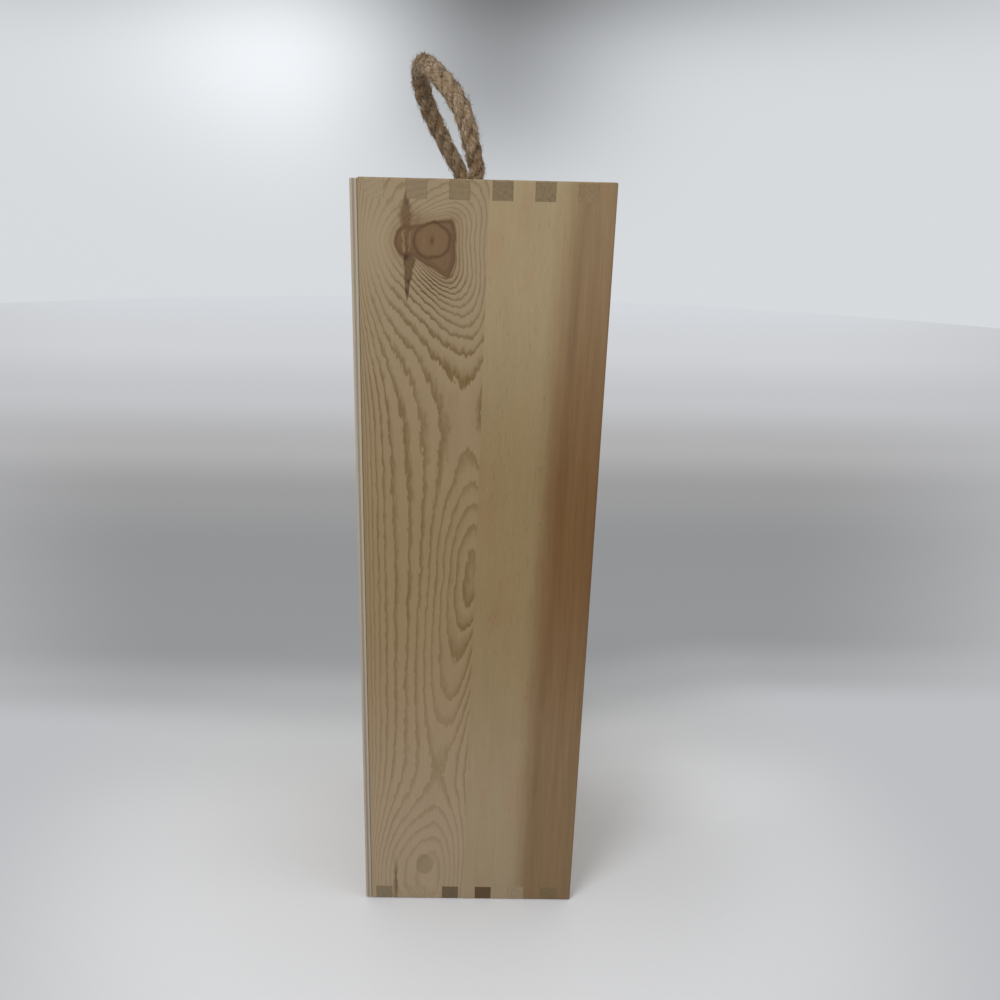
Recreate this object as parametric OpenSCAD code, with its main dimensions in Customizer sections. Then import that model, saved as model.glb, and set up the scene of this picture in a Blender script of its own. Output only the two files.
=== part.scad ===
/* [Box] */
// Height of the box without its handle
box_height = 360; // [340:1:400]
// Width across the front
box_width = 110; // [106:1:130]
// Depth of a side board, front to back
side_depth = 105; // [102:1:125]
// Thickness of the solid wood boards
board = 8; // [7.5:0.5:10]
// Thickness of the plywood back
back_thickness = 3; // [2:0.5:5]
// How far the back stops short of the top and of the bottom
back_short = 0.5; // [0:0.5:2]

/* [Finger joints] */
// Fingers on each end of the top and bottom boards
finger_count = 6; // [4:1:7]
// Width of one finger
finger_width = 8.4; // [6:0.2:9]
// Solid wood behind the rearmost finger
rear_margin = 2.5; // [1:0.5:5]

/* [Sliding lid] */
// Thickness of the lid
lid_thickness = 3.6; // [3:0.2:4.4]
// Depth of the grooves that guide the lid
groove_depth = 4; // [3:0.5:4.5]
// Depth of the groove in the bottom board
seat_depth = 3; // [2:0.5:4]
// Wood in front of the grooves
front_lip = 3.5; // [2.5:0.5:5]
// Play between the lid and each wall of its groove
lid_play = 0.2; // [0.1:0.05:0.4]
// Radius of the thumb notch in the lid
notch_radius = 11; // [8:1:14]
// Depth of the thumb notch at its upper edge
notch_depth = 1.8; // [1:0.2:2.4]
// Distance from the lid's upper edge to the top of the thumb notch
notch_drop = 16; // [8:1:40]

/* [Glued staves] */
// Width of the rear stave at the top of the left side
left_seam_top = 53.5; // [47:0.5:54]
// Width of the rear stave at the foot of the left side
left_seam_foot = 48; // [46:0.5:54]
// Width of the rear stave of the right side
right_seam = 66.5; // [64:0.5:70]

/* [Rope handle] */
// Diameter of the rope
rope_diameter = 8; // [6:0.5:9]
// Diameter of each rope hole
hole_diameter = 14; // [12:0.5:15]
// Distance between the two rope holes
hole_spacing = 56; // [50:1:60]
// Distance from the rear edge of the side boards to the rope holes
hole_setback = 44; // [38:1:60]
// Chamfer round the mouth of each rope hole
hole_chamfer = 0.8; // [0.4:0.2:1.2]
// Play between a leg of the rope and the side of its hole that it leans on
rope_side_play = 0.2; // [0.1:0.05:0.5]
// Diameter of the knot under each hole
knot_diameter = 22; // [21:1:26]
// How far the knot reaches past the rim of its hole where it meets the board
knot_grip = 2.5; // [1.5:0.5:3]
// Length of the frayed tail below the knot
tail_length = 12; // [6:1:20]

/* [Back nails] */
// Nails down each side of the back
nail_rows = 4; // [3:1:6]
// Distance from the ends of the back to the first nail
nail_end = 22; // [18:1:40]
// Diameter of a nail's shank
nail_shank = 1.2; // [1:0.1:1.6]
// Diameter of a nail's head
nail_head = 2.4; // [2:0.1:3]
// Thickness of a nail's head
nail_head_thickness = 0.6; // [0.4:0.1:0.8]
// Length of a nail
nail_length = 15; // [10:1:18]

/* [Edges] */
// Rounding of the outer edges
ease = 0.8; // [0.4:0.1:1.2]
// Rounding of the thin plywood edges
ply_ease = 0.5; // [0.2:0.1:0.6]

/* [Hidden] */
$fn = 64;
// Overshoot of a cutter past the face it opens
over = 1;
// Clear play round a nail's shank and head
nail_play = 0.05;
// Play that keeps the rope's loop off the top of the box
rope_play = 0.3;
// Steps in a quarter turn of an eased edge
ease_steps = 3;
// Sides of the rope's tube and rings between two points of its route
rope_sides = 12;
rings_per_point = 3;
// Angles of the small rings that round off each end of the rope's tube
cap_angles = [15, 45, 75];

half_width = box_width / 2;
inner_half_width = half_width - board;
full_depth = side_depth + back_thickness;
back_y = full_depth / 2;
rear_y = back_y - back_thickness;
front_y = rear_y - side_depth;
frame_y = (rear_y + front_y) / 2;

groove_width = lid_thickness + 2 * lid_play;
groove_front_y = front_y + front_lip;
groove_rear_y = groove_front_y + groove_width;
groove_floor_z = board - seat_depth;
groove_half_width = inner_half_width + groove_depth;
top_board_depth = rear_y - groove_rear_y;

finger_gap = (top_board_depth - rear_margin - finger_count * finger_width) / (finger_count - 1);
finger_pitch = finger_width + finger_gap;

hole_y = rear_y - hole_setback;
rope_radius = rope_diameter / 2;
// The loop is twisted a little, which presses one leg forwards and one back
rope_shift = hole_diameter / 2 - rope_radius - rope_side_play;
pivot_z = box_height + rope_radius + rope_play;

// Route of the loop from its left leg to its right leg: x, y from the line of
// the holes, and z from the height at which the legs bend
loop_route = [
    [-28, -3.9, 0], [-30, -2, 8], [-31, 0.2, 17], [-29.5, 4.3, 26], [-24.5, 10, 34],
    [-14, 16, 40.2], [0, 20, 43.4], [12.5, 22, 42], [23, 22, 36], [29, 19, 27.5],
    [31, 14.4, 18.5], [30.5, 9.2, 9], [28, 3.9, 0]
];
// Direction that is square to the plane in which the loop roughly lies
loop_normal = [-0.1, 0.9, -0.4];

// Points of a quarter turn round one corner of an eased outline
function corner_points(x, y, radius, start) =
    [for (step = [0:ease_steps])
        let (angle = start + 90 * step / ease_steps)
        [x + radius * cos(angle), y + radius * sin(angle)]];

// Rectangle about the origin with eased corners
module eased_rectangle(size_x, size_y, radius) {
    x = size_x / 2 - radius;
    y = size_y / 2 - radius;
    polygon(concat(
        corner_points(x, y, radius, 0),
        corner_points(-x, y, radius, 90),
        corner_points(-x, -y, radius, 180),
        corner_points(x, -y, radius, 270)
    ));
}

// Block standing on the origin with all twelve edges eased
module eased_block(size_x, size_y, size_z, radius) {
    intersection() {
        linear_extrude(height = size_z)
            eased_rectangle(size_x, size_y, radius);
        translate([0, size_y / 2, size_z / 2])
            rotate([90, 0, 0])
                linear_extrude(height = size_y)
                    eased_rectangle(size_x, size_z, radius);
        translate([-size_x / 2, 0, size_z / 2])
            rotate([90, 0, 90])
                linear_extrude(height = size_x)
                    eased_rectangle(size_y, size_z, radius);
    }
}

// Outer form of the frame that the four boards are sanded to after gluing
module frame_envelope() {
    translate([0, frame_y, 0])
        eased_block(box_width, side_depth, box_height, ease);
}

// One row of bars across the box, one for each finger, with their foot at z
module finger_row(z, bar_height) {
    for (i = [0:finger_count - 1])
        translate([-half_width, rear_y - rear_margin - finger_width - i * finger_pitch, z])
            cube([box_width, finger_width, bar_height]);
}

// Channel that the lid slides in, cut into both sides and the bottom board
module lid_channel() {
    translate([-groove_half_width, groove_front_y, groove_floor_z])
        cube([2 * groove_half_width, groove_width, box_height]);
}

// Heights of the nails down each side of the back
function nail_heights() =
    [for (row = [0:nail_rows - 1])
        nail_end + row * (box_height - 2 * nail_end) / (nail_rows - 1)];

// Places of all nails on the back: x and z
function nail_places() =
    concat(
        [for (side = [-1, 1], z = nail_heights()) [side * (half_width - board / 2), z]],
        [[0, board / 2], [0, box_height - board / 2]]
    );

// Nails seen from the back, or their holes when play is given
module nails(play) {
    for (place = nail_places())
        translate([place[0], back_y, place[1]])
            rotate([90, 0, 0]) {
                translate([0, 0, play > 0 ? -over : 0])
                    cylinder(h = nail_head_thickness + (play > 0 ? over + play : 0),
                        r = nail_head / 2 + play, $fn = 24);
                cylinder(h = nail_length + play, r = nail_shank / 2 + play, $fn = 24);
            }
}

// Outline of the rear stave seen from the side, with its seam edge
module rear_stave_side_view(seam_top, seam_foot) {
    polygon([
        [rear_y + over, -over],
        [rear_y + over, box_height + over],
        [rear_y - seam_top, box_height + over],
        [rear_y - seam_foot, -over]
    ]);
}

// Block that holds all of the rear stave
module rear_stave_block(seam_top, seam_foot) {
    translate([-half_width - over, 0, 0])
        rotate([90, 0, 90])
            linear_extrude(height = board + 2 * over)
                rear_stave_side_view(seam_top, seam_foot);
}

// A whole left side board with its finger sockets, lid groove and nail holes
module side_board() {
    difference() {
        intersection() {
            frame_envelope();
            translate([-half_width, front_y, 0])
                cube([board, side_depth, box_height]);
        }
        finger_row(-over, board + over);
        finger_row(box_height - board, board + over);
        lid_channel();
        nails(nail_play);
    }
}

// The rear stave of a left side board
module back_stave(seam_top, seam_foot) {
    intersection() {
        side_board();
        rear_stave_block(seam_top, seam_foot);
    }
}

// The front stave of a left side board
module front_stave(seam_top, seam_foot) {
    difference() {
        side_board();
        rear_stave_block(seam_top, seam_foot);
    }
}

module left_side_back_stave() {
    color([0.64, 0.56, 0.43])
        back_stave(left_seam_top, left_seam_foot);
}

module left_side_front_stave() {
    color([0.58, 0.48, 0.35])
        front_stave(left_seam_top, left_seam_foot);
}

module right_side_back_stave() {
    color([0.62, 0.54, 0.41])
        mirror([1, 0, 0])
            back_stave(right_seam, right_seam);
}

module right_side_front_stave() {
    color([0.6, 0.5, 0.37])
        mirror([1, 0, 0])
            front_stave(right_seam, right_seam);
}

// Hole for one leg of the rope, chamfered at its mouth
module rope_hole(side) {
    translate([side * hole_spacing / 2, hole_y, box_height - board - over])
        cylinder(h = board + 2 * over, d = hole_diameter);
    translate([side * hole_spacing / 2, hole_y, box_height - hole_chamfer])
        cylinder(h = hole_chamfer + over, r1 = hole_diameter / 2,
            r2 = hole_diameter / 2 + hole_chamfer + over);
}

module top_board() {
    color([0.6, 0.53, 0.41])
        difference() {
            intersection() {
                frame_envelope();
                union() {
                    translate([-inner_half_width, groove_rear_y, box_height - board])
                        cube([2 * inner_half_width, top_board_depth, board]);
                    finger_row(box_height - board, board);
                }
            }
            rope_hole(-1);
            rope_hole(1);
            nails(nail_play);
        }
}

module bottom_board() {
    color([0.56, 0.48, 0.36])
        difference() {
            intersection() {
                frame_envelope();
                union() {
                    translate([-inner_half_width, front_y, 0])
                        cube([2 * inner_half_width, side_depth, board]);
                    finger_row(0, board);
                }
            }
            lid_channel();
            nails(nail_play);
        }
}

module back_panel() {
    color([0.7, 0.64, 0.54])
        difference() {
            translate([0, (rear_y + back_y) / 2, back_short])
                eased_block(box_width, back_thickness, box_height - 2 * back_short, ply_ease);
            nails(nail_play);
        }
}

module back_nails() {
    color([0.6, 0.6, 0.6])
        nails(0);
}

// Half-moon cut whose tilted floor runs out at the middle of the circle
module thumb_notch() {
    tilt = atan(notch_depth / notch_radius);
    translate([0, groove_front_y + lid_play, box_height - notch_drop - notch_radius])
        rotate([90 - tilt, 0, 0])
            cylinder(h = notch_radius, r = notch_radius / cos(tilt));
}

module sliding_lid() {
    lid_width = 2 * (groove_half_width - lid_play);
    lid_foot = groove_floor_z + lid_play;
    color([0.72, 0.64, 0.5])
        difference() {
            translate([0, groove_front_y + lid_play + lid_thickness / 2, lid_foot])
                eased_block(lid_width, lid_thickness, box_height - lid_foot, ply_ease);
            thumb_notch();
        }
}

// Unit vector along v
function unit(v) = v / norm(v);

// Point on a smooth curve through b and c, with a and d as their neighbours
function curve_point(a, b, c, d, t) =
    0.5 * (2 * b + (c - a) * t + (2 * a - 5 * b + 4 * c - d) * pow(t, 2)
        + (3 * b - a - 3 * c + d) * pow(t, 3));

// Points of a smooth curve through all points of a route
function smooth_route(route) =
    let (
        last = len(route) - 1,
        ends = concat([2 * route[0] - route[1]], route, [2 * route[last] - route[last - 1]])
    )
    concat(
        [for (i = [1:last], k = [0:rings_per_point - 1])
            curve_point(ends[i - 1], ends[i], ends[i + 1], ends[i + 2], k / rings_per_point)],
        [route[last]]
    );

// One ring of points round centre, square to the direction along
function ring(centre, along, radius) =
    let (u = unit(cross(along, loop_normal)), v = cross(along, u))
    [for (side = [0:rope_sides - 1])
        let (angle = 360 * side / rope_sides)
        centre + radius * (cos(angle) * u + sin(angle) * v)];

// Direction of the route at its point i
function route_direction(points, i) =
    unit(points[min(i + 1, len(points) - 1)] - points[max(i - 1, 0)]);

// Tube along a list of points with rounded ends, as one closed surface
module rounded_tube(points, radius) {
    last = len(points) - 1;
    first_along = route_direction(points, 0);
    last_along = route_direction(points, last);
    rings = concat(
        [for (angle = cap_angles)
            ring(points[0] - radius * cos(angle) * first_along, first_along,
                radius * sin(angle))],
        [for (i = [0:last]) ring(points[i], route_direction(points, i), radius)],
        [for (k = [len(cap_angles) - 1:-1:0])
            ring(points[last] + radius * cos(cap_angles[k]) * last_along, last_along,
                radius * sin(cap_angles[k]))]
    );
    ring_count = len(rings);
    walls = [
        for (i = [0:ring_count - 2], side = [0:rope_sides - 1])
            let (
                here = i * rope_sides + side,
                next = i * rope_sides + (side + 1) % rope_sides
            )
            each [[next, here, here + rope_sides], [next, here + rope_sides, next + rope_sides]]
    ];
    first_cap = [for (side = [0:rope_sides - 1]) side];
    last_cap = [for (side = [rope_sides - 1:-1:0]) (ring_count - 1) * rope_sides + side];
    polyhedron([for (one_ring = rings) each one_ring], concat(walls, [first_cap, last_cap]));
}

module rope_loop() {
    color([0.55, 0.47, 0.37])
        translate([0, hole_y, pivot_z])
            rounded_tube(smooth_route(loop_route), rope_radius);
}

// The leg of the rope in its hole, the knot that holds it and the tail below
module rope_knot(side) {
    under_board = box_height - board;
    knot_radius = knot_diameter / 2;
    // The knot is pulled against the board, which flattens its upper end
    seat_radius = hole_diameter / 2 + knot_grip;
    knot_centre = under_board - sqrt(pow(knot_radius, 2) - pow(seat_radius, 2));
    translate([side * hole_spacing / 2, hole_y, 0]) {
        translate([0, side * rope_shift, under_board - over])
            cylinder(h = board + over, r = rope_radius);
        difference() {
            translate([0, 0, knot_centre])
                sphere(r = knot_radius);
            translate([-knot_radius, -knot_radius, under_board])
                cube([knot_diameter, knot_diameter, knot_diameter]);
        }
        translate([0, 0, knot_centre - knot_radius - tail_length])
            cylinder(h = knot_radius + tail_length, r = rope_radius);
    }
}

module rope_knot_left() {
    color([0.52, 0.44, 0.34])
        rope_knot(-1);
}

module rope_knot_right() {
    color([0.52, 0.44, 0.34])
        rope_knot(1);
}

left_side_back_stave();
left_side_front_stave();
right_side_back_stave();
right_side_front_stave();
top_board();
bottom_board();
back_panel();
back_nails();
sliding_lid();
rope_loop();
rope_knot_left();
rope_knot_right();
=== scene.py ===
import math
import random

import bpy
from mathutils import Matrix, Vector


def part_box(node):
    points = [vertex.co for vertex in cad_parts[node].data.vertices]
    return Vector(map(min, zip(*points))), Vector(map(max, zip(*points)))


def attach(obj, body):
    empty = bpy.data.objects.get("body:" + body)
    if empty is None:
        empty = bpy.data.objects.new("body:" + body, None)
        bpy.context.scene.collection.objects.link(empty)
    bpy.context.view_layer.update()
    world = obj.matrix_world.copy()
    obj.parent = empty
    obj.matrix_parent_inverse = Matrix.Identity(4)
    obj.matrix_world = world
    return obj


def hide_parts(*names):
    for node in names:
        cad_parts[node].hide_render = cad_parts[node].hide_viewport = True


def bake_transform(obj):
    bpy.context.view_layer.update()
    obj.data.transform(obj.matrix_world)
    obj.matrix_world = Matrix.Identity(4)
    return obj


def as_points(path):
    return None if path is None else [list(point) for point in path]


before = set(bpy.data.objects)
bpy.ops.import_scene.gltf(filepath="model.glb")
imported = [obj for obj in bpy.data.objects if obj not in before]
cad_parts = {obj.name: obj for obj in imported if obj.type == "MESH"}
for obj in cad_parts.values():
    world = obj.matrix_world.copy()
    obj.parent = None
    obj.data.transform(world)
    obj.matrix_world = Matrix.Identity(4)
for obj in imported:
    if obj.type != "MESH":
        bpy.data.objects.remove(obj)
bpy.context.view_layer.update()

MM = 0.001


# The camera: where it stands, and which way it looks

camera_place = Vector((-0.43698, 0.00513, 0.35696))
camera_heading = Vector((0.99988, -0.0158, 0)).normalized()
camera_pitch = math.radians(19.15)
camera_roll = math.radians(1.328)
sensor_width = 36
lens_length = 32.4
lens_shift = 0.021


def make_camera():
    """The camera, turned by its heading and pitch and rolled about its own line of sight."""
    forward = camera_heading * math.cos(camera_pitch) - Vector((0, 0, math.sin(camera_pitch)))
    level_right = Vector((camera_heading.y, -camera_heading.x, 0))
    level_up = level_right.cross(forward)
    right = level_right * math.cos(camera_roll) + level_up * math.sin(camera_roll)
    up = level_up * math.cos(camera_roll) - level_right * math.sin(camera_roll)
    camera = bpy.data.objects.new("camera", bpy.data.cameras.new("camera"))
    camera.data.sensor_width = sensor_width
    camera.data.lens = lens_length
    camera.data.shift_x = lens_shift
    turn = Matrix((right, up, -forward)).transposed()
    camera.matrix_world = Matrix.Translation(camera_place) @ turn.to_4x4()
    bpy.context.scene.collection.objects.link(camera)
    bpy.context.scene.camera = camera


# Numbers and colours in node trees

def tone(red, green, blue):
    """A colour as it looks on a screen, 0 to 255, in the linear values that nodes use."""
    linear = []
    for value in (red, green, blue):
        share = value / 255
        linear.append(share / 12.92 if share < 0.04045 else ((share + 0.055) / 1.055) ** 2.4)
    return (*linear, 1)


class Number:
    """A number in a node tree. Ordinary arithmetic on it adds Math nodes."""

    def __init__(self, tree, socket):
        self.tree = tree
        self.socket = socket

    def work(self, operation, *others):
        node = self.tree.nodes.new("ShaderNodeMath")
        node.operation = operation
        for place, value in zip(node.inputs, (self, *others)):
            if isinstance(value, Number):
                self.tree.links.new(value.socket, place)
            else:
                place.default_value = value
        return Number(self.tree, node.outputs[0])

    def __add__(self, other):
        return self.work("ADD", other)

    def __sub__(self, other):
        return self.work("SUBTRACT", other)

    def __rsub__(self, other):
        return (self * -1) + other

    def __mul__(self, other):
        return self.work("MULTIPLY", other)

    def __truediv__(self, other):
        return self.work("DIVIDE", other)

    __radd__ = __add__
    __rmul__ = __mul__

    def at_least(self, limit):
        return self.work("MAXIMUM", limit)

    def at_most(self, limit):
        return self.work("MINIMUM", limit)

    def size(self):
        return self.work("ABSOLUTE")

    def root(self):
        return self.at_least(0).work("SQRT")

    def bell(self):
        """1 where this number is 0, falling to 0 on both sides."""
        return (self * self * -1).work("EXPONENT")

    def line(self, place, width):
        """1 where this number is at the place, falling to 0 past this width on both sides."""
        return ((self - place) / width).bell()

    def fraction(self):
        return self.work("FRACT")

    def whole(self):
        return self.work("FLOOR")

    def wave(self):
        return self.work("SINE")

    def rise(self, start, end):
        """0 before start and 1 after end, with a smooth step between them."""
        node = self.tree.nodes.new("ShaderNodeMapRange")
        node.interpolation_type = "SMOOTHSTEP"
        node.inputs["From Min"].default_value = start
        node.inputs["From Max"].default_value = end
        self.tree.links.new(self.socket, node.inputs["Value"])
        return Number(self.tree, node.outputs["Result"])

    def curve(self, points):
        """The smooth line through points, each of them this number and the value there."""
        first, last = points[0][0], points[-1][0]
        low = min(value for place, value in points)
        high = max(value for place, value in points)
        node = self.tree.nodes.new("ShaderNodeFloatCurve")
        marks = node.mapping.curves[0].points
        for place, value in points[1:-1]:
            marks.new((place - first) / (last - first), (value - low) / (high - low))
        marks[0].location = (0, (points[0][1] - low) / (high - low))
        marks[-1].location = (1, (points[-1][1] - low) / (high - low))
        node.mapping.update()
        self.tree.links.new(((self - first) / (last - first)).socket, node.inputs["Value"])
        return Number(self.tree, node.outputs["Value"]) * (high - low) + low


class Finish:
    """A material, with its place on the object in millimetres and the nodes that its figure needs."""

    def __init__(self, name, roughness, gloss=0.25):
        self.material = bpy.data.materials.new(name)
        self.material.use_nodes = True
        self.tree = self.material.node_tree
        self.shader = self.tree.nodes["Principled BSDF"]
        self.shader.inputs["Roughness"].default_value = roughness
        self.shader.inputs["Specular IOR Level"].default_value = gloss
        place = self.tree.nodes.new("ShaderNodeTexCoord").outputs["Object"]
        self.x, self.y, self.z = [part / MM for part in self.parts(place)]

    def parts(self, vector):
        """The X, Y and Z of a vector, each as a number."""
        node = self.tree.nodes.new("ShaderNodeSeparateXYZ")
        self.tree.links.new(vector, node.inputs[0])
        return [Number(self.tree, output) for output in node.outputs]

    def facing(self):
        """How far the surface faces along X, Y and Z, 0 to 1."""
        normal = self.tree.nodes.new("ShaderNodeNewGeometry").outputs["Normal"]
        return [part.size() for part in self.parts(normal)]

    def noise(self, lengths, seed, detail=2, place=None):
        """Noise from about -1 to 1, whose lumps are this long in X, Y and Z, in millimetres."""
        join = self.tree.nodes.new("ShaderNodeCombineXYZ")
        for socket, part, length in zip(join.inputs, place or (self.x, self.y, self.z), lengths):
            self.tree.links.new((part / length + seed * 7.31).socket, socket)
        node = self.tree.nodes.new("ShaderNodeTexNoise")
        node.inputs["Scale"].default_value = 1
        node.inputs["Detail"].default_value = detail
        self.tree.links.new(join.outputs[0], node.inputs["Vector"])
        return (Number(self.tree, node.outputs[0]) - 0.5) * 3

    def put(self, value, socket):
        """Sets a socket to a number or colour, or links it to one that nodes work out."""
        if isinstance(value, Number):
            self.tree.links.new(value.socket, socket)
        elif isinstance(value, bpy.types.NodeSocket):
            self.tree.links.new(value, socket)
        else:
            socket.default_value = value

    def mix(self, share, first, second, way="MIX"):
        """The colour that is first where share is 0 and second where share is 1."""
        node = self.tree.nodes.new("ShaderNodeMix")
        node.data_type = "RGBA"
        node.blend_type = way
        self.put(share, node.inputs["Factor"])
        self.put(first, node.inputs[6])
        self.put(second, node.inputs[7])
        return node.outputs[2]

    def shade(self, colour, share):
        """The colour times a share, or times another colour, either of them 1 where nothing changes."""
        return self.mix(1.0, colour, share, "MULTIPLY")

    def ramp(self, number, stops, stepped=False):
        """Colours along a number: stops are a place from 0 to 1 and a colour."""
        node = self.tree.nodes.new("ShaderNodeValToRGB")
        node.color_ramp.interpolation = "CONSTANT" if stepped else "EASE"
        marks = node.color_ramp.elements
        while len(marks) < len(stops):
            marks.new(1)
        for mark, (place, colour) in zip(marks, stops):
            mark.position = place
            mark.color = colour
        self.put(number, node.inputs["Fac"])
        return node.outputs["Color"]

    def finish(self, colour, height=None, roughness=None):
        """Gives the shader its colour, its relief in millimetres and its roughness."""
        self.put(colour, self.shader.inputs["Base Color"])
        if roughness is not None:
            self.put(roughness, self.shader.inputs["Roughness"])
        if height is not None:
            bump = self.tree.nodes.new("ShaderNodeBump")
            bump.inputs["Distance"].default_value = MM
            self.put(height, bump.inputs["Height"])
            self.tree.links.new(bump.outputs["Normal"], self.shader.inputs["Normal"])
        return self.material


# Wood

box_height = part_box("left_side_back_stave")[1][2] / MM
side_roughness = 0.68
board_roughness = 0.7
plywood_roughness = 0.66
wood_gloss = 0.15
late_wood = tone(197, 183, 150)
pale_late_wood = tone(213, 203, 186)
x_axis, z_axis = 0, 2


def hill(y, z, middle, reach, lean=(0, 0), point=0):
    """How far a place is from the middle of a hill of growth rings, 1 at its reach.

    reach is how far the hill goes to the rear, to the front, up and down, lean how far it leans to
    the rear for each millimetre above and below its middle, and point how much like a diamond it is.
    """
    rounding = 5
    up = (z - middle[1]).at_least(0)
    down = (middle[1] - z).at_least(0)
    bend_up = (up * up + rounding ** 2).root() - rounding
    bend_down = (down * down + rounding ** 2).root() - rounding
    off = y - middle[0] - bend_up * lean[0] - bend_down * lean[1]
    across = off.at_least(0) / reach[0] + (off * -1).at_least(0) / reach[1]
    along = up / reach[2] + down / reach[3]
    round_way = (across * across + along * along).root()
    return round_way * (1 - point) + (across + along) * point


def spot(y, z, middle, reach, lean=(0, 0)):
    """1 in the middle of a soft spot, falling to 0 past its reach. The rest is as in hill()."""
    return hill(y, z, middle, reach, lean).bell()


def ring_lines(level, soft=1.0):
    """Dark late wood: a line, stronger in some rings, that starts sharply and fades by mid-ring."""
    share = level.fraction()
    strength = 0.78 + 0.22 * (level.whole() * 12.9).wave()
    return share.rise(0, 0.07 * soft) * share.rise(0.52, 0.1) * strength


def fibres(wood, axis, seed):
    """Fine and coarse streaks along the grain, which runs along this axis."""
    fine = [0.35, 0.35, 0.35]
    fine[axis] = 14
    coarse = [1.6, 1.6, 1.6]
    coarse[axis] = 45
    return wood.noise(fine, seed), wood.noise(coarse, seed + 1)


def speckle(wood, seed):
    """Dots like the open ends of the pores in end grain."""
    return wood.noise([0.8, 0.8, 0.8], seed, detail=3)


def painted_light_at_ends(wood, foot, middle, head):
    """A board that is pale at its foot and head by painted light, and browner and darker between them by
    painted shade.

    foot and head are a share of the height and a colour, and middle is two shares and a colour.
    """
    start, end, painted_shade_tone = middle
    return wood.ramp(wood.z / box_height, [foot, (start, painted_shade_tone), (end, painted_shade_tone), head])


def wood_relief(fine, lines):
    """Raised fibres and sunken lines, in millimetres."""
    return fine * 0.012 - lines * 0.02


# The knotty stave, by its places behind the middle of the box and above the floor

rings_across_rear_stave = [
    (51, -0.8), (48, 1.65), (44, 3.35), (38, 4.85), (31, 5.7), (24, 6.45), (18, 7.0), (12, 7.2), (6, 7.1),
    (0, 6.3), (-6, 3.5)
]
depth_slope = 0.3
large_knot = (20.7, 336)
streak_foot, streak_head = 311, 356


def knotty_level(wood, y):
    """The growth rings as a height: each ring starts at a whole number."""
    z = wood.z
    rear = rings_across_rear_stave[0][0]
    level = (rear - y).curve([(rear - place, rings) for place, rings in rings_across_rear_stave])
    knot_hill = hill(y, z, large_knot, (9.1, 10.6, 9.5, 16.8), lean=(-0.84, -0.52), point=0.14)
    shoulder = spot(y, z, (53.4, 336), (24, 40, 48, 44))
    oval = spot(y, z, (-2.8, 192), (18.9, 11.5, 47.8, 88), lean=(-0.12, 0.19))
    small_knot = spot(y, z, (20.5, 14), (36, 16.4, 44, 42), lean=(-0.08, 0))
    climb = (z - 180) * (0.01465 - y * 0.0003)
    level = level + 21.6 * (knot_hill * -1).work("EXPONENT") + 5.3 * shoulder + 6.7 * oval
    level = level + 7.3 * small_knot + climb
    level = level + 0.45 * spot(y, z, (2, 182), (7, 7, 14, 12))
    level = level - 0.6 * spot(y, z, (5, 151), (12, 10, 14, 18))
    wobble = wood.noise([40, 14, 60], seed=1) * 0.1 + wood.noise([9, 3.5, 9], seed=2) * 0.17
    teeth = wood.noise([3, 1.1, 4], seed=3) * 0.14
    return level + wobble + teeth * (1 + 0.4 * z.line(290, 50))


def knotty_lines(wood, y, by_knot, pale_patch):
    """The lines of the rings: strong by the knot, faint in a pale patch, filled in at the arches' tips."""
    z = wood.z
    level = knotty_level(wood, y)
    by_height = z.curve([(0, 0.5), (60, 0.5), (110, 0.55), (150, 0.7), (240, 0.85), (300, 0.9), (360, 0.85)])
    lines = ring_lines(level) * (0.85 + wood.noise([30, 6, 30], seed=4) * 0.3 + by_knot * 0.5)
    lines = lines * (1 - pale_patch * 0.8) * by_height
    filled = spot(y, z, (4, 168), (8, 10, 40, 50)) + spot(y, z, (8, 282), (14, 10, 18, 26)) * 0.7
    filled = filled + spot(y, z, (20, 320), (11, 9, 6, 9)) * 0.9
    share = level.fraction()
    return lines * (1 + filled * 0.25) + filled * share.rise(0.05, 0.12) * share.rise(0.9, 0.4) * 0.4


def with_rings(wood, y, lines, by_knot, pale_patch, fine, coarse):
    """Plain wood with the lines of its rings, which are browner near and under the large knot."""
    # painted light at the foot and head of the stave, and painted shade between them
    ground = painted_light_at_ends(
        wood, (0.08, tone(147, 129, 106)), (0.48, 0.56, tone(135, 115, 85)), (0.96, tone(144, 127, 101))
    )
    cloud = wood.noise([30, 12, 40], seed=12)
    ground = wood.shade(ground, 1 + fine * 0.03 + coarse * 0.03 + cloud * 0.02 + pale_patch * 0.06)
    under_knot = spot(y, wood.z, (21, 323), (11, 10, 7, 13))
    brown_line = wood.mix(under_knot, tone(176, 158, 134), tone(152, 128, 102))
    line_tone = wood.mix(by_knot, late_wood, brown_line)
    return wood.mix(lines.at_most(1), ground, wood.shade(ground, line_tone))


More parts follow.
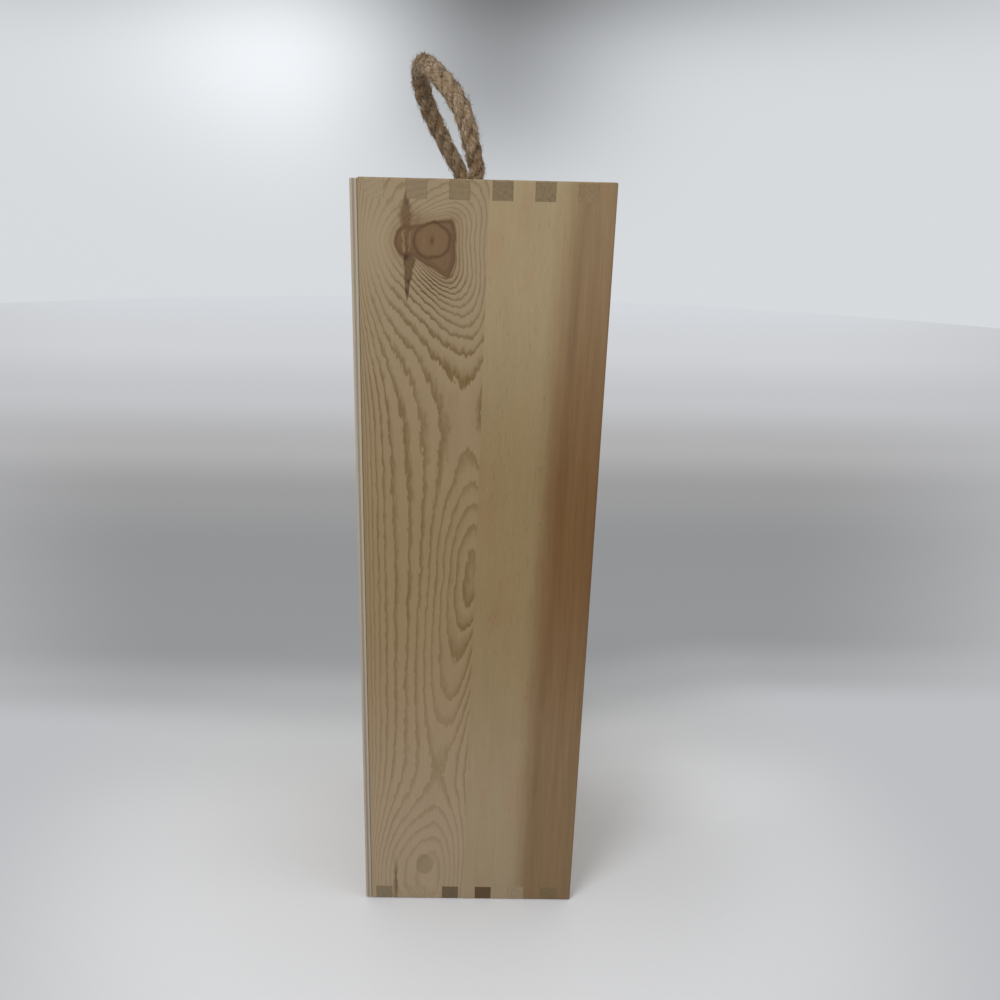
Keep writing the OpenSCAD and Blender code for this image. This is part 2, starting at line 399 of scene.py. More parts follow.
def with_large_knot(wood, y, colour, fine, coarse, mottle):
    """The large knot: brown wood inside straight sides, round a dark ring and a dark pith."""
    z = wood.z
    ripple = wood.noise([4, 4, 4], seed=8) * 0.5
    front_side = 10.7 - y
    top_side = (z - 347.8 + y * 0.2) * 0.98
    lower_side = (311.9 + y * 0.616 - z) * 0.85
    corner_side = (10.8 - y) * 0.91 + (326.6 - z) * 0.42
    rear_part = (hill(y, z, (31.4, 335), (5, 5, 7, 6)) - 1) * 5
    outside = front_side.work("SMOOTH_MAX", top_side, 6).work("SMOOTH_MAX", lower_side, 2.5)
    outside = outside.work("SMOOTH_MAX", corner_side, 1).work("MAXIMUM", y - 30.5)
    outside = outside.work("SMOOTH_MIN", rear_part, 1.5) + ripple
    inner = hill(y, z, (20.6, 336), (7.4, 7.3, 6.9, 6.6)) + ripple * 0.2
    rim = outside.line(-0.9, 0.5)
    second_rim = outside.line(-2.1, 0.4) * (337 - z).rise(0, 6)
    dark_ring = inner.line(1, 0.1)
    pith = spot(y, z, large_knot, (0.9, 0.9, 1.6, 1.6))
    knot_tone = wood.mix(inner.rise(0.8, 1.2), tone(112, 88, 63), tone(107, 84, 60))
    knot_tone = wood.shade(knot_tone, 1 + fine * 0.06 + coarse * 0.06 + mottle * 0.07)
    dark = (dark_ring * 0.75 + rim * 0.65 + second_rim * 0.4 + pith * 0.8).at_most(1)
    knot_tone = wood.mix(dark, knot_tone, tone(80, 58, 40))
    colour = wood.mix(outside.rise(0.6, -0.6), colour, knot_tone)
    colour = wood.mix(outside.line(1.2, 1.4) * 0.35, colour, tone(124, 101, 76))
    haze = spot(y, z, (27.6, 343.5), (3, 5, 4, 3)) * (0.75 + mottle * 0.35)
    return wood.mix((haze * 0.8).at_most(1), colour, tone(112, 86, 62))


def streak_shape(wood, y, ragged, mottle):
    """How far a place is from the middle of the streak, 1 at its side, and where its ends let it show."""
    run = wood.z - streak_foot
    length = streak_head - streak_foot
    width = run.curve([
        (0, 0.1), (4, 0.5), (9, 1.0), (13, 1.4), (17, 2.1), (20, 1.5), (27, 1.3), (31, 1.9), (35, 2.2),
        (39, 1.5), (43, 0.5), (length, 0.1)
    ])
    width = width * (1 + ragged * 0.4 + mottle * wood.z.rise(338, 343) * 0.3)
    middle = run.curve([(0, 31.2), (11, 30.8), (17, 30.4), (24, 31.3), (34, 31.5), (length, 31.2)])
    off = (y - middle + wood.noise([8, 4, 6], seed=13) * 0.5).size() / width
    return off, run.rise(-1, 1) * wood.z.rise(streak_head + 1, streak_head - 1)


def with_streak(wood, y, colour, off, within, soft_edge, ragged, mottle):
    """A streak of bark through the rear of the knot: soft above, a dark wedge with blots below."""
    z = wood.z
    blots = ragged.rise(0.35, 0.8) * soft_edge * 0.3
    for place, reach, strength in (
        ((31.4, 329.3), (1.2, 1.2, 1.4, 1.4), 1.0), ((30.5, 319.7), (0.7, 0.7, 1.2, 1.2), 0.8),
        ((31.1, 315.5), (0.6, 0.6, 1.4, 1.4), 0.8), ((31, 350.5), (0.9, 0.9, 2.4, 1.6), 0.45)
    ):
        blots = blots + spot(y, z, place, reach) * strength
    edge_line = off.line(0.85, 0.25) * within * z.rise(331, 327)
    rear_curl = ((y - 32.2 + wood.noise([4, 2, 3], seed=14) * 0.9) / 0.45).bell()
    front_curl = ((y - 29.8 + ragged * 1.1) / 0.4).bell()
    curl = (rear_curl + front_curl * 0.45) * z.rise(330, 332) * z.rise(341, 338.5)
    streak_tone = wood.ramp((z - streak_foot) / (streak_head - streak_foot), [
        (0.42, tone(94, 70, 48)), (0.64, tone(100, 75, 52)), (0.78, tone(98, 74, 52)),
        (1.0, tone(106, 86, 62))
    ])
    streak_tone = wood.shade(streak_tone, 1 + mottle * 0.12)
    colour = wood.mix(soft_edge * 0.85, colour, streak_tone)
    colour = wood.mix((curl * 0.6).at_most(1), colour, tone(147, 124, 96))
    return wood.mix((edge_line * 0.5 + blots * 0.85).at_most(1), colour, tone(58, 41, 28))


def with_small_knot(wood, y, colour, ragged):
    """The small knot near the foot, and a dark resin streak behind it."""
    z = wood.z
    knot = hill(y, z, (23, 22.5), (4.6, 4.6, 6.6, 6.6), lean=(0.12, 0.12)).rise(1.1, 0.85)
    colour = wood.mix(knot * 0.45, colour, tone(114, 98, 69))
    resin = ((y - 38.2 + wood.noise([4, 2, 7], seed=10) * 0.8) / (0.75 + ragged * 0.3)).bell()
    resin = resin * z.curve([(0, 0.6), (4, 0.9), (8, 1.0), (15, 1.0), (20, 0.6), (25, 0.25), (30, 0.0)])
    return wood.mix((resin * 0.8).at_most(1), colour, tone(84, 68, 46))


def knotty_stave():
    """The rear stave of the left side: a large knot near the top, a small one near the foot."""
    wood = Finish("knotty_stave", side_roughness, wood_gloss)
    outer_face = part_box("left_side_back_stave")[0][0] / MM
    y = wood.y + (wood.x - outer_face) * depth_slope
    fine, coarse = fibres(wood, z_axis, 5)
    ragged = wood.noise([6, 3, 4], seed=9)
    mottle = wood.noise([2.4, 1.8, 2.2], seed=15, detail=3)
    by_knot = spot(y, wood.z, (20, 322), (15, 16, 14, 26))
    pale_patch = spot(y, wood.z, (45, 335), (13, 9, 22, 18))
    lines = knotty_lines(wood, y, by_knot, pale_patch)
    colour = with_rings(wood, y, lines, by_knot, pale_patch, fine, coarse)
    colour = with_large_knot(wood, y, colour, fine, coarse, mottle)
    off, within = streak_shape(wood, y, ragged, mottle)
    soft_edge = off.rise(1.5, 0.5) * within
    colour = with_streak(wood, y, colour, off, within, soft_edge, ragged, mottle)
    colour = with_small_knot(wood, y, colour, ragged)
    return wood.finish(colour, wood_relief(fine, lines + soft_edge))


# The other boards

def pale_stave():
    """The front stave of the left side: pale and straight in the middle, red heartwood in front."""
    wood = Finish("pale_stave", side_roughness, wood_gloss)
    y, z = wood.y, wood.z
    fleck_size = [1, 0.6, 4.5]
    edge = z.curve([(0, -22), (50, -22.5), (110, -23.7), (170, -25.5), (230, -26.8), (290, -28), (360, -32)])
    into = (edge - y) + wood.noise([30, 7, 30], seed=21) * 0.9 + wood.noise([6, 2, 9], seed=22) * 0.35
    fine, coarse = fibres(wood, z_axis, 24)

    # Pale wood, with brown and white flecks most of all at mid-height, and a pink blush, with painted light
    # at the foot and head and painted shade between them
    middle_band = z.line(215, 95)
    fleck = wood.noise(fleck_size, seed=27).rise(0.3, 0.7) * (0.35 + middle_band * 0.65)
    pale_fleck = wood.noise([1, 0.7, 4], seed=33).rise(0.3, 0.9) * (0.3 + middle_band * 0.7)
    cloud = wood.noise([30, 9, 34], seed=28)
    blush = (wood.noise([30, 14, 50], seed=29) + wood.noise([9, 5, 10], seed=34) * 0.7).rise(0.0, 0.9)
    ground = painted_light_at_ends(
        wood, (0.12, tone(143, 126, 101)), (0.48, 0.64, tone(131, 112, 80)), (0.92, tone(150, 133, 103))
    )
    ground = wood.shade(ground, 1 + fine * 0.035 + coarse * 0.03 + cloud * 0.03 + pale_fleck * 0.1)
    ground = wood.mix(fleck * 0.4, ground, tone(100, 78, 54))
    ground = wood.mix(blush * 0.6, ground, wood.shade(ground, tone(255, 240, 238)))

    # Red heartwood, streaked along the grain, with short dark ticks, with painted light at the foot and head
    # and painted shade between them
    dark_line = ((into - 11 + wood.noise([20, 4, 45], seed=23)) / 1.6).bell()
    front_edge = (into - 23).rise(0, 6)
    streaks = fine * 0.07 + coarse * 0.1 + wood.noise([30, 3.5, 70], seed=30) * 0.08
    ticks = wood.noise(fleck_size, seed=35).rise(0.45, 0.8)
    red = painted_light_at_ends(wood, (0.2, tone(119, 97, 70)), (0.56, 0.6, tone(106, 77, 47)), (1.0, tone(132, 110, 82)))
    red = wood.shade(red, 1 + streaks - dark_line * 0.1 - front_edge * 0.05 - ticks * 0.16)
    heart = into.rise(-2.5, 10.5)
    return wood.finish(wood.mix(heart, ground, red), wood_relief(fine, heart * 0.2))


def plain_stave(name, middle, width, climb, seed, heart_at=None):
    """A stave with nested arches: the growth rings of a board sawn beside the heart of the log.

    The arches are width across and a ring each climb of height, and the wood in front of heart_at is
    red.
    """
    wood = Finish(name, side_roughness, wood_gloss)
    y, z = wood.y, wood.z
    off = (y - middle + (z - box_height / 2) * 0.02) / width
    level = off * off - z / climb + wood.noise([40, 14, 60], seed) * 0.35
    level = level + wood.noise([9, 4, 16], seed + 1) * 0.12 + wood.noise([3, 0.7, 6], seed + 2) * 0.1
    level = level + wood.x * 0.12
    lines = ring_lines(level) * (0.75 + wood.noise([30, 6, 30], seed + 3) * 0.3)
    fine, coarse = fibres(wood, z_axis, seed + 4)
    ground = wood.shade(tone(146, 129, 101), 1 + fine * 0.035 + coarse * 0.05)
    if heart_at is not None:
        heart = (heart_at - y + wood.noise([30, 6, 40], seed + 7) * 1.5).rise(0, 9)
        ground = wood.mix(heart, ground, wood.shade(tone(124, 98, 70), 1 + coarse * 0.1))
    colour = wood.mix(lines, ground, wood.shade(ground, pale_late_wood))
    return wood.finish(colour, wood_relief(fine, lines))


finger_count = 6
finger_pitch = 17.32
finger_width = 8.4
first_finger = 48.5
top_finger_tones = [
    tone(143, 127, 101), tone(129, 112, 88), tone(124, 108, 82), tone(118, 102, 79), tone(120, 104, 79),
    tone(128, 108, 81)
]
foot_finger_tones = [
    tone(117, 104, 83), tone(142, 126, 103), tone(98, 82, 62), tone(85, 67, 47), tone(138, 121, 98),
    tone(109, 92, 66)
]


def end_board(name, pith, ring_width, seed, finger_tones):
    """The top or bottom board, whose grain runs across the box and ends in its fingers."""
    wood = Finish(name, board_roughness, wood_gloss)
    x, y, z = wood.x, wood.y, wood.z
    off_y = y - pith[0] + wood.noise([60, 9, 9], seed) * 1.2
    off_z = z - pith[1] + x * 0.03
    level = (off_y * off_y + off_z * off_z).root() / ring_width + wood.noise([50, 4, 4], seed + 1) * 0.12
    lines = ring_lines(level, soft=2)
    fine, coarse = fibres(wood, x_axis, seed + 2)
    board = wood.shade(tone(150, 132, 104), 1 + fine * 0.035 + coarse * 0.04)
    board = wood.mix(lines, board, wood.shade(board, pale_late_wood))

    # End grain: one tone for each finger, pores that show most on the fifth, and a dark joint line
    turn = (first_finger - y) / finger_pitch
    marks = [(max(0, number / finger_count - 0.01), colour) for number, colour in enumerate(finger_tones)]
    end = wood.ramp(turn / finger_count, marks, stepped=True)
    pores = speckle(wood, seed + 5) * (0.3 + 0.7 * turn.line(3.9, 1.3))
    end = wood.shade(end, 1.01 + pores * 0.34 - pores.rise(0.3, 0.7) * 0.25 - lines * 0.08)
    beside = turn.fraction() * finger_pitch
    gap = (beside.rise(0.35, 0.05) + beside.rise(finger_width - 0.35, finger_width - 0.05)).at_most(1)
    end = wood.shade(end, 1 - gap * 0.25)
    faces_x = wood.facing()[0].rise(0.6, 0.9)
    return wood.finish(wood.mix(faces_x, board, end), wood_relief(fine, lines) + pores * faces_x * 0.03)


def plywood(name, node, seed, face_tone):
    """Three-ply wood: a broad wavy figure on its faces and three layers on its edges."""
    wood = Finish(name, plywood_roughness, wood_gloss)
    low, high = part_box(node)
    wander = wood.noise([38, 60, 150], seed) * 2.6 + wood.noise([9, 30, 50], seed + 1) * 0.35
    bands = ring_lines(wood.x / 15 + wander, soft=5)
    fine, coarse = fibres(wood, z_axis, seed + 2)
    pores = wood.noise([0.4, 1, 3.5], seed + 5).rise(0.6, 0.95)
    face = wood.shade(face_tone, 1 + fine * 0.03 + coarse * 0.035 - pores * 0.08)
    face = wood.mix(bands * 0.6, face, wood.shade(face, tone(222, 211, 190)))
    depth = (wood.y - low[1] / MM) / ((high[1] - low[1]) / MM)
    grain = wood.noise([2, 2, 5], seed + 6) * 0.03
    core = (depth + grain).rise(0.33, 0.37) * (depth + grain).rise(0.69, 0.65)
    edge = wood.mix(core, tone(164, 154, 139), tone(141, 127, 108))
    edge = wood.shade(
        edge, 0.87 + (wood.z / box_height) * 0.11 + speckle(wood, seed + 7) * 0.05 + fine * 0.03
    )
    faces_y = wood.facing()[1].rise(0.6, 0.9)
    return wood.finish(wood.mix(faces_y, edge, face), wood_relief(fine, bands * 0.3 + pores * 0.3))


def bright_wire():
    """Bright steel with scratches along the nail and a little rust."""
    metal = Finish("bright_wire", 0.35, 0.5)
    metal.shader.inputs["Metallic"].default_value = 1
    scratches = metal.noise([0.15, 1.2, 0.15], seed=61, detail=3)
    rust = metal.noise([1.5, 1.5, 1.5], seed=62, detail=3).rise(0.5, 1.0)
    colour = metal.mix(rust, metal.shade(tone(176, 176, 174), 1 + scratches * 0.12), tone(128, 104, 84))
    return metal.finish(colour, scratches * 0.01, 0.34 + scratches * 0.08 + rust * 0.3)


def dress_nodes():
    """Gives every CAD node that stays in view its material."""
    finishes = {
        "left_side_back_stave": knotty_stave(),
        "left_side_front_stave": pale_stave(),
        "right_side_back_stave": plain_stave("arched_stave", 20, 9, 38, seed=31),
        "right_side_front_stave": plain_stave("heart_stave", -30, 7.5, 52, seed=41, heart_at=-34),
        "top_board": end_board("top_wood", (14, 300), 2.4, 51, top_finger_tones),
        "bottom_board": end_board("foot_wood", (-22, 38), 2.8, 71, foot_finger_tones),
        "back_panel": plywood("back_plywood", "back_panel", 81, tone(168, 148, 116)),
        "sliding_lid": plywood("lid_plywood", "sliding_lid", 91, tone(172, 152, 119)),
        "back_nails": bright_wire()
    }
    for node, material in finishes.items():
        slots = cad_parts[node].data.materials
        slots.clear()
        slots.append(material)


# The rope

rope_diameter = 8
rope_lay = 25
rope_fibres = 5400
knot_diameter = 6.4
knot_lay = 22
knot_fibres = 420
yarn_lay = 9.0
line_step = 0.8
hole_y = 7
hole_spacing = 56
leg_shift = 2.8
pivot_z = 364.3
under_board = 352
knot_middle = 345

# Places across a strand's texture go from 0 to 1, and those of a loose fibre start at this mark
loose_fibre = 2.0

# The loop from the left hole to the right one, measured from between them at the pivot's height
loop_route = [
    (-28, -3.9, 0), (-30, -2, 8), (-31, 0.2, 17), (-29.5, 4.3, 26), (-24.5, 10, 34),
    (-14, 16, 40.2), (0, 20, 43.4), (12.5, 22, 42), (23, 22, 36), (29, 19, 27.5),
    (31, 14.4, 18.5), (30.5, 9.2, 9), (28, 3.9, 0)
]


def smooth_line(points, steps):
    """A smooth line through the points, with this many steps between two of them."""
    points = [Vector(point) for point in points]
    ends = [points[0] * 2 - points[1], *points, points[-1] * 2 - points[-2]]
    line = []
    for before, start, end, after in zip(ends, ends[1:], ends[2:], ends[3:]):
        for step in range(steps):
            share = step / steps
            line.append((
                start * 2 + (end - before) * share
                + (before * 2 - start * 5 + end * 4 - after) * share ** 2
                + (start * 3 - before - end * 3 + after) * share ** 3
            ) / 2)
    return [*line, points[-1]]


def line_length(line):
    return sum((end - start).length for start, end in zip(line, line[1:]))


def even_line(line, step):
    """The same line with its points an even step apart."""
    count = max(2, round(line_length(line) / step))
    step = line_length(line) / count
    even, left, place = [line[0]], step, line[0]
    for following in line[1:]:
        while (following - place).length >= left and len(even) < count:
            place = place + (following - place).normalized() * left
            even.append(place)
            left = step
        left -= (following - place).length
        place = following
    return [*even, line[-1]]


def frames_along(line):
    """The direction of the line at each point, and two directions across it that don't twist."""
    frames = []
    across = None
    for before, here, after in zip([line[0], *line], line, [*line[1:], line[-1]]):
        ahead = (after - before).normalized()
        if across is None:
            across = ahead.orthogonal()
        across = (across - ahead * across.dot(ahead)).normalized()
        frames.append((here, ahead, across, ahead.cross(across)))
    return frames


class Skin:
    """The corners, faces and texture places of one mesh, put together tube by tube."""

    def __init__(self):
        self.corners = []
        self.faces = []
        self.places = []

    def tube(self, line, radius, sides, ridges=0, ridge_lay=1.0, lane=0.0):
        """A closed tube along the line, whose radius is a function of the share of its length.

        ridges wind round it once each ridge_lay, and its texture places start at lane.
        """
        ridge_height = 0.05
        start = len(self.corners)
        run = 0
        for number, (here, ahead, first, second) in enumerate(frames_along(line)):
            run += (here - line[number - 1]).length if number else 0
            size = radius(number / (len(line) - 1))
            for side in range(sides):
                angle = 2 * math.pi * side / sides
                turn = ridges * angle + 2 * math.pi * run / ridge_lay
                swell = 1 + ridge_height * math.sin(turn) if ridges else 1
                out = first * math.cos(angle) + second * math.sin(angle)
                self.corners.append(here + out * size * swell)
                self.places.append((side / sides, lane + run))
        for number in range(len(line) - 1):
            for side in range(sides):
                here = start + number * sides + side
                beside = start + number * sides + (side + 1) % sides
                self.faces.append((here, beside, beside + sides, here + sides))
        last = start + (len(line) - 1) * sides
        self.faces.append(tuple(range(start + sides - 1, start - 1, -1)))
        self.faces.append(tuple(range(last, last + sides)))

    def object(self, name, material):
        mesh = bpy.data.meshes.new(name)
        mesh.from_pydata([corner * MM for corner in self.corners], [], self.faces)
        layer = mesh.uv_layers.new(name="along")
        for loop in mesh.loops:
            layer.data[loop.index].uv = self.places[loop.vertex_index]
        for polygon in mesh.polygons:
            polygon.use_smooth = True
        mesh.materials.append(material)
        piece = bpy.data.objects.new(name, mesh)
        bpy.context.scene.collection.objects.link(piece)
        return piece


def hair(skin, root, way, out, length, chance):
    """One loose fibre: a thin bent tube that starts under the surface and tapers to its tip."""
    line = [root]
    steps = 4
    sides = 3
    drift = Vector([chance.uniform(-1, 1) for part in range(3)]) * 0.3
    for step in range(steps):
        lift = out * (0.8 - 0.25 * step) + way + drift * step
        line.append(line[-1] + lift.normalized() * length / steps)
    thick = chance.uniform(0.07, 0.15)
    start = len(skin.places)
    skin.tube(line, lambda share: thick * (1.05 - 0.8 * share), sides)
    shade = loose_fibre + chance.random()
    skin.places[start:] = [(shade, along) for around, along in skin.places[start:]]


def laid_rope(skin, line, diameter, lay, chance, hairs, narrow=None, fray=0.0):
    """Three strands laid round the line, with loose fibres.

    narrow is a function from the distance along the line to a share of the diameter, and fray the
    length that opens at the end.
    """
    strands = 3
    strand_radius = diameter * 0.3
    strand_offset = diameter * 0.2
    root_turns = (-1.1, 0, 1.1)
    root_depth = 0.9
    frames = frames_along(line)
    step = (line[1] - line[0]).length
    last = len(line) - 1
    total = step * last
    sizes = [narrow(number * step) if narrow else 1.0 for number in range(len(line))]
    roots = []

    def thickness(share):
        """The strand's radius, which tapers in the last hundredth or two of its length."""
        return strand_radius * sizes[round(share * last)] * (1 - 30 * max(0, share - 0.985))

    for strand in range(strands):
        strand_line = []
        for number, (here, ahead, first, second) in enumerate(frames):
            angle = 2 * math.pi * (number * step / lay + strand / strands)
            open_share = max(0, number * step - (total - fray)) / fray if fray else 0
            spread = strand_offset * (1 + 0.75 * open_share) * sizes[number]
            out = first * math.cos(angle) + second * math.sin(angle)
            strand_line.append(here + out * spread)
            for turn in root_turns:
                face = out * math.cos(turn) + ahead.cross(out) * math.sin(turn)
                root = here + out * spread + face * strand_radius * sizes[number] * root_depth
                roots.append((root, ahead, face))
        skin.tube(strand_line, thickness, sides=20, ridges=7, ridge_lay=yarn_lay, lane=strand * 131.0)
    for fibre in range(hairs):
        root, ahead, out = chance.choice(roots)
        side = ahead.cross(out)
        way = ahead * chance.choice((-1, 1)) * chance.uniform(0.7, 1.5) + side * chance.uniform(-0.8, 0.8)
        stray = chance.random() ** 3
        hair(skin, root, way, out * (0.12 + 1.1 * stray), chance.uniform(2.1, 4.9 - 2.2 * stray), chance)
    if fray:
        tip, ahead = line[-1], frames[-1][1]
        for fibre in range(hairs // 2):
            aside = Vector([chance.uniform(-1, 1) for part in range(3)])
            aside = (aside - ahead * aside.dot(ahead)) * diameter * 0.36
            root = tip + aside - ahead * 1.5
            hair(skin, root, ahead * 1.6, aside * 0.12, chance.uniform(2.5, 4.5), chance)


def jute():
    """Twisted jute: brown yarn, mottled, paler on its left side by painted light and a little darker on the
    other by painted shade, and darker between the strands by painted shade.
    """
    yarn = Finish("jute", 0.92, 0.08)
    place = yarn.tree.nodes.new("ShaderNodeUVMap")
    place.uv_map = "along"
    around, along = yarn.parts(place.outputs[0])[:2]
    strand_size = 2.1
    wrap = (around + along / yarn_lay) * 2 * math.pi
    fibre_place = (wrap.wave() * strand_size, wrap.work("COSINE") * strand_size, along)
    fibre = yarn.noise([0.3, 0.3, 5], seed=101, detail=3, place=fibre_place)
    yarns = yarn.noise([0.9, 0.9, 7], seed=102, place=fibre_place)
    golden = yarn.noise([6, 6, 6], seed=104).rise(-0.1, 0.7)
    grey = yarn.noise([2.6, 2.6, 3.4], seed=105).rise(0.0, 0.7)
    dark = yarn.noise([2.2, 2.2, 3.2], seed=106).rise(0.05, 0.7)
    colour = yarn.ramp(fibre * 0.5 + 0.5, [
        (0.0, tone(78, 61, 43)), (0.3, tone(110, 90, 68)), (0.6, tone(143, 122, 97)),
        (1.0, tone(184, 164, 139))
    ])
    colour = yarn.mix(golden * 0.6, colour, tone(136, 103, 60))
    colour = yarn.mix(grey * 0.6, colour, tone(166, 149, 131))
    colour = yarn.mix(dark * 0.65, colour, tone(78, 61, 44))
    # painted light on the run nearer the front (towards -X) and painted shade on the far run
    painted_side_light = yarn.x.rise(-8, -28) * 0.19 - yarn.x.rise(0, 20) * 0.06
    colour = yarn.shade(colour, 1 + yarns * 0.26 + painted_side_light)
    loose = yarn.ramp(around - loose_fibre, [
        (0.0, tone(84, 63, 42)), (0.35, tone(125, 101, 76)), (0.7, tone(163, 141, 114)),
        (1.0, tone(205, 188, 162))
    ])
    colour = yarn.mix(around.rise(loose_fibre - 0.5, loose_fibre - 0.4), colour, loose)
    # painted shade: the colour is darkened where ambient occlusion finds the grooves between strands and
    # fibres
    occlusion = yarn.tree.nodes.new("ShaderNodeAmbientOcclusion")
    occlusion.inputs["Distance"].default_value = 1.8 * MM
    shaded = Number(yarn.tree, occlusion.outputs["AO"]).rise(0.05, 0.8)
    colour = yarn.shade(colour, 0.5 + shaded * 0.5)
    yarn.shader.inputs["Sheen Weight"].default_value = 0.12
    yarn.shader.inputs["Sheen Roughness"].default_value = 0.5
    return yarn.finish(colour, fibre * 0.12 + yarns * 0.1)


def knot_route(side):
    """An overhand knot under its hole: two turns and three crossings, from the leg to the tail."""
    turn_radius, tube_radius, half_height = 3.9, 3.1, 4.3
    waves_a_turn = 1.5
    leg_end = knot_middle + 5.6
    tail = [(0, 0, -9.5), (0.6, -0.6, -14), (1.0, -1.0, -19.2)]
    leg = Vector((side * hole_spacing / 2, hole_y + side * leg_shift, 0))
    points = [leg + Vector((0, 0, under_board)), leg + Vector((0, 0, leg_end))]
    middle = Vector((side * hole_spacing / 2, hole_y, knot_middle - 0.6))
    for degrees in range(75, 660, 15):
        angle = math.radians(degrees)
        weave = waves_a_turn * angle
        reach = turn_radius + tube_radius * math.cos(weave)
        points.append(middle + Vector((
            side * reach * math.cos(angle), reach * math.sin(angle), half_height * math.sin(weave)
        )))
    points += [middle + Vector((side * out, back, up)) for out, back, up in tail]
    return points


def make_rope():
    """The rope from knot to knot, which bends above its holes, and the two knots below the board."""
    material = jute()
    chance = random.Random(11)
    left = Vector((-hole_spacing / 2, hole_y - leg_shift, 0))
    right = Vector((hole_spacing / 2, hole_y + leg_shift, 0))
    leg_heights = (348, 353, 358.5)
    points = [left + Vector((0, 0, height)) for height in leg_heights]
    points += [Vector(point) + Vector((0, hole_y, pivot_z)) for point in loop_route]
    points += [right + Vector((0, 0, height)) for height in reversed(leg_heights)]
    line = even_line(smooth_line(points, 12), line_step)
    skin = Skin()
    whole = line_length(line)

    def narrow(run):
        """The rope is pulled thin where it goes through the board, and is full further up."""
        from_end = min(run, whole - run)
        return 0.86 + 0.18 * min(1, max(0, (from_end - 14) / 30))

    laid_rope(skin, line, rope_diameter, rope_lay, chance, rope_fibres, narrow)
    rope = skin.object("rope", material)

    for side, name in ((-1, "knot_left"), (1, "knot_right")):
        skin = Skin()
        knot_line = even_line(smooth_line(knot_route(side), 6), line_step)
        laid_rope(skin, knot_line, knot_diameter, knot_lay, chance, knot_fibres, fray=7.0)
        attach(skin.object(name, material), "case")

    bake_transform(rope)
    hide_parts("rope_loop", "rope_knot_left", "rope_knot_right")
    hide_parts("rope_knot_left")
    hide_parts("rope_knot_right")
    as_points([point * MM for point in line[::3]] + [line[-1] * MM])


# Floor, background and light

def paint_floor():
    """A pale floor that takes light and shadow near the box, with painted shade towards the back and painted
    light and shade to the right of the box, and is plain paint further off.

    The paint has the soft grey bands of painted shade and painted light of a studio backdrop, set by the
    distance behind the box.
    """
    floor = Finish("pale_floor", 0.9, 0.1)
    grain = floor.noise([3, 3, 3], seed=201, detail=3)
    # aside moves the bands back to the right of the box, so the floor there is painted lighter
    aside = (floor.y * -1).rise(0, 220)
    # painted shade: the floor near the box darkens towards the back
    near = floor.ramp((floor.x - aside * 40) / 400 + 0.5, [
        (0.0, tone(222, 224, 228)), (0.5, tone(214, 216, 220)), (0.7, tone(204, 206, 209)),
        (0.86, tone(182, 184, 187)), (1.0, tone(160, 162, 165))
    ])
    # painted light and painted shade on the floor to the right of the box, over the shadow that the box
    # casts there
    painted_light_and_shade_patch = floor.y.line(-115, 62) * floor.x.at_least(-200).at_most(260).curve([
        (-200, 0), (-90, -0.04), (-40, -0.08), (-13, -0.08), (18, -0.01), (53, 0.11), (90, 0.2), (135, 0.15),
        (260, 0)
    ])
    floor.finish(floor.shade(near, 1 + grain * 0.006 + painted_light_and_shade_patch))
    # painted shade and painted light of a studio backdrop: a dark band where the floor would meet the wall,
    # lighter beyond
    far = floor.ramp((floor.x - 100 - aside * 40) / 2500, [
        (0.0, tone(190, 191, 194)), (0.02, tone(166, 168, 170)), (0.045, tone(149, 150, 151)),
        (0.13, tone(147, 148, 149)), (0.2, tone(156, 156, 157)), (0.28, tone(176, 176, 177)),
        (0.41, tone(195, 196, 199)), (0.62, tone(207, 209, 213)), (1.0, tone(212, 215, 219))
    ])
    beside = (floor.y.size() / (floor.x + 440).at_least(1)).rise(0.36, 0.9)
    far = floor.mix(beside, far, tone(190, 191, 194))
    emission = floor.tree.nodes.new("ShaderNodeEmission")
    floor.put(far, emission.inputs["Color"])
    path = floor.tree.nodes.new("ShaderNodeLightPath")
    seen = Number(floor.tree, path.outputs["Is Camera Ray"])
    distance = (floor.x * floor.x + floor.y * floor.y).root()
    share = distance.rise(150, 300) * seen
    join = floor.tree.nodes.new("ShaderNodeMixShader")
    floor.put(share, join.inputs[0])
    floor.tree.links.new(floor.shader.outputs[0], join.inputs[1])
    floor.tree.links.new(emission.outputs[0], join.inputs[2])
    output = floor.tree.nodes["Material Output"]
    floor.tree.links.new(join.outputs[0], output.inputs["Surface"])
    return floor.material


def make_floor():
    """A round floor just under the box's foot, with finer faces near the box."""
    reach = 2.7
    drop = 0.0002
    rings, sides = 40, 96
    corners = [(0, 0, 0)]
    faces = []
    for ring in range(1, rings + 1):
        radius = reach * (ring / rings) ** 2
        for side in range(sides):
            angle = 2 * math.pi * side / sides
            corners.append((radius * math.cos(angle), radius * math.sin(angle), 0))
    for side in range(sides):
        beside = (side + 1) % sides
        faces.append((0, 1 + side, 1 + beside))
        for ring in range(rings - 1):
            inner, outer = 1 + ring * sides, 1 + (ring + 1) * sides
            faces.append((inner + side, outer + side, outer + beside, inner + beside))
    mesh = bpy.data.meshes.new("floor")
    mesh.from_pydata(corners, [], faces)
    mesh.materials.append(paint_floor())
    floor = bpy.data.objects.new("floor", mesh)
    floor.location.z = -drop
    bpy.context.scene.collection.objects.link(floor)


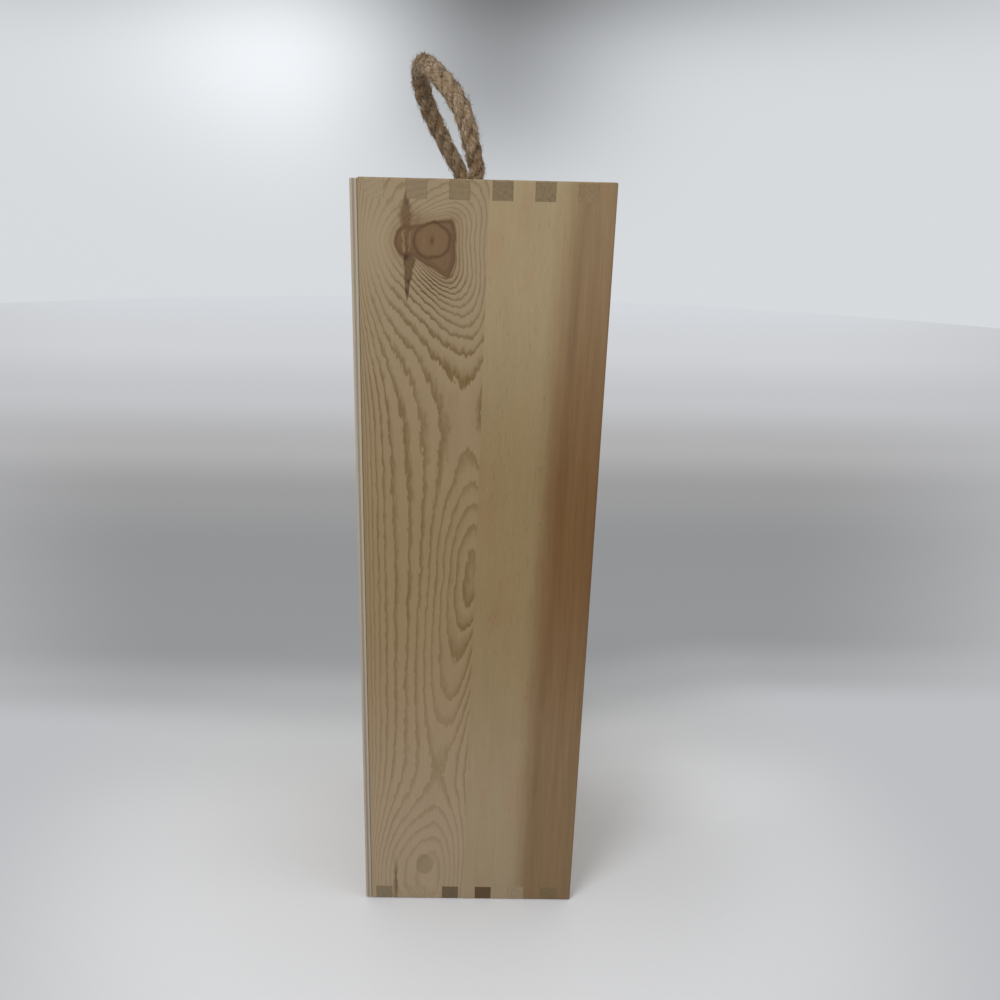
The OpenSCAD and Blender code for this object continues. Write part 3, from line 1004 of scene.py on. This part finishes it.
def make_world():
    """Even studio light, with a painted background that only the camera and reflections see."""
    world = bpy.data.worlds.new("studio")
    bpy.context.scene.world = world
    world.use_nodes = True
    tree = world.node_tree
    light = tree.nodes["Background"]
    light.inputs["Color"].default_value = (1, 0.99, 0.965, 1)
    light.inputs["Strength"].default_value = 0.67
    place = tree.nodes.new("ShaderNodeTexCoord").outputs["Generated"]
    split = tree.nodes.new("ShaderNodeSeparateXYZ")
    tree.links.new(place, split.inputs[0])
    y, z = Number(tree, split.outputs[1]), Number(tree, split.outputs[2])
    glow = y.line(0.17, 0.146) * z.line(0.156, 0.115)
    narrow_shadow = y.line(-0.006, 0.127) * z.line(0.112, 0.096)
    wide_shadow = y.line(0.026, 0.505) * z.line(0.203, 0.059)
    grey = 0.702 + glow * 0.325 - narrow_shadow * 0.37 - wide_shadow * 0.41
    colour = tree.nodes.new("ShaderNodeCombineColor")
    for socket, share in zip(colour.inputs, (0.97, 1.0, 1.035)):
        tree.links.new((grey * share).socket, socket)
    seen = tree.nodes.new("ShaderNodeBackground")
    tree.links.new(colour.outputs[0], seen.inputs["Color"])
    path = tree.nodes.new("ShaderNodeLightPath")
    rays = Number(tree, path.outputs["Is Camera Ray"])
    rays = rays.work("MAXIMUM", Number(tree, path.outputs["Is Glossy Ray"]))
    rays = rays.work("MAXIMUM", Number(tree, path.outputs["Is Transmission Ray"]))
    join = tree.nodes.new("ShaderNodeMixShader")
    tree.links.new(rays.socket, join.inputs[0])
    tree.links.new(light.outputs[0], join.inputs[1])
    tree.links.new(seen.outputs[0], join.inputs[2])
    tree.links.new(join.outputs[0], tree.nodes["World Output"].inputs["Surface"])


def make_lamp(name, place, target, size, power):
    """A round soft lamp that shines from its place at the target."""
    data = bpy.data.lights.new(name, "AREA")
    data.shape = "DISK"
    data.size = size
    data.energy = power
    lamp = bpy.data.objects.new(name, data)
    lamp.location = place
    lamp.rotation_mode = "QUATERNION"
    lamp.rotation_quaternion = (Vector(place) - Vector(target)).to_track_quat("Z", "Y")
    bpy.context.scene.collection.objects.link(lamp)


make_camera()
make_rope()
dress_nodes()
make_floor()
make_world()
box_middle = (0, 0, 0.2)
make_lamp("key", (-1.3, 1.0, 1.4), box_middle, size=1.0, power=19)
make_lamp("fill", (-0.6, -1.8, 1.0), box_middle, size=1.6, power=6)
bpy.context.scene.view_settings.view_transform = "Standard"
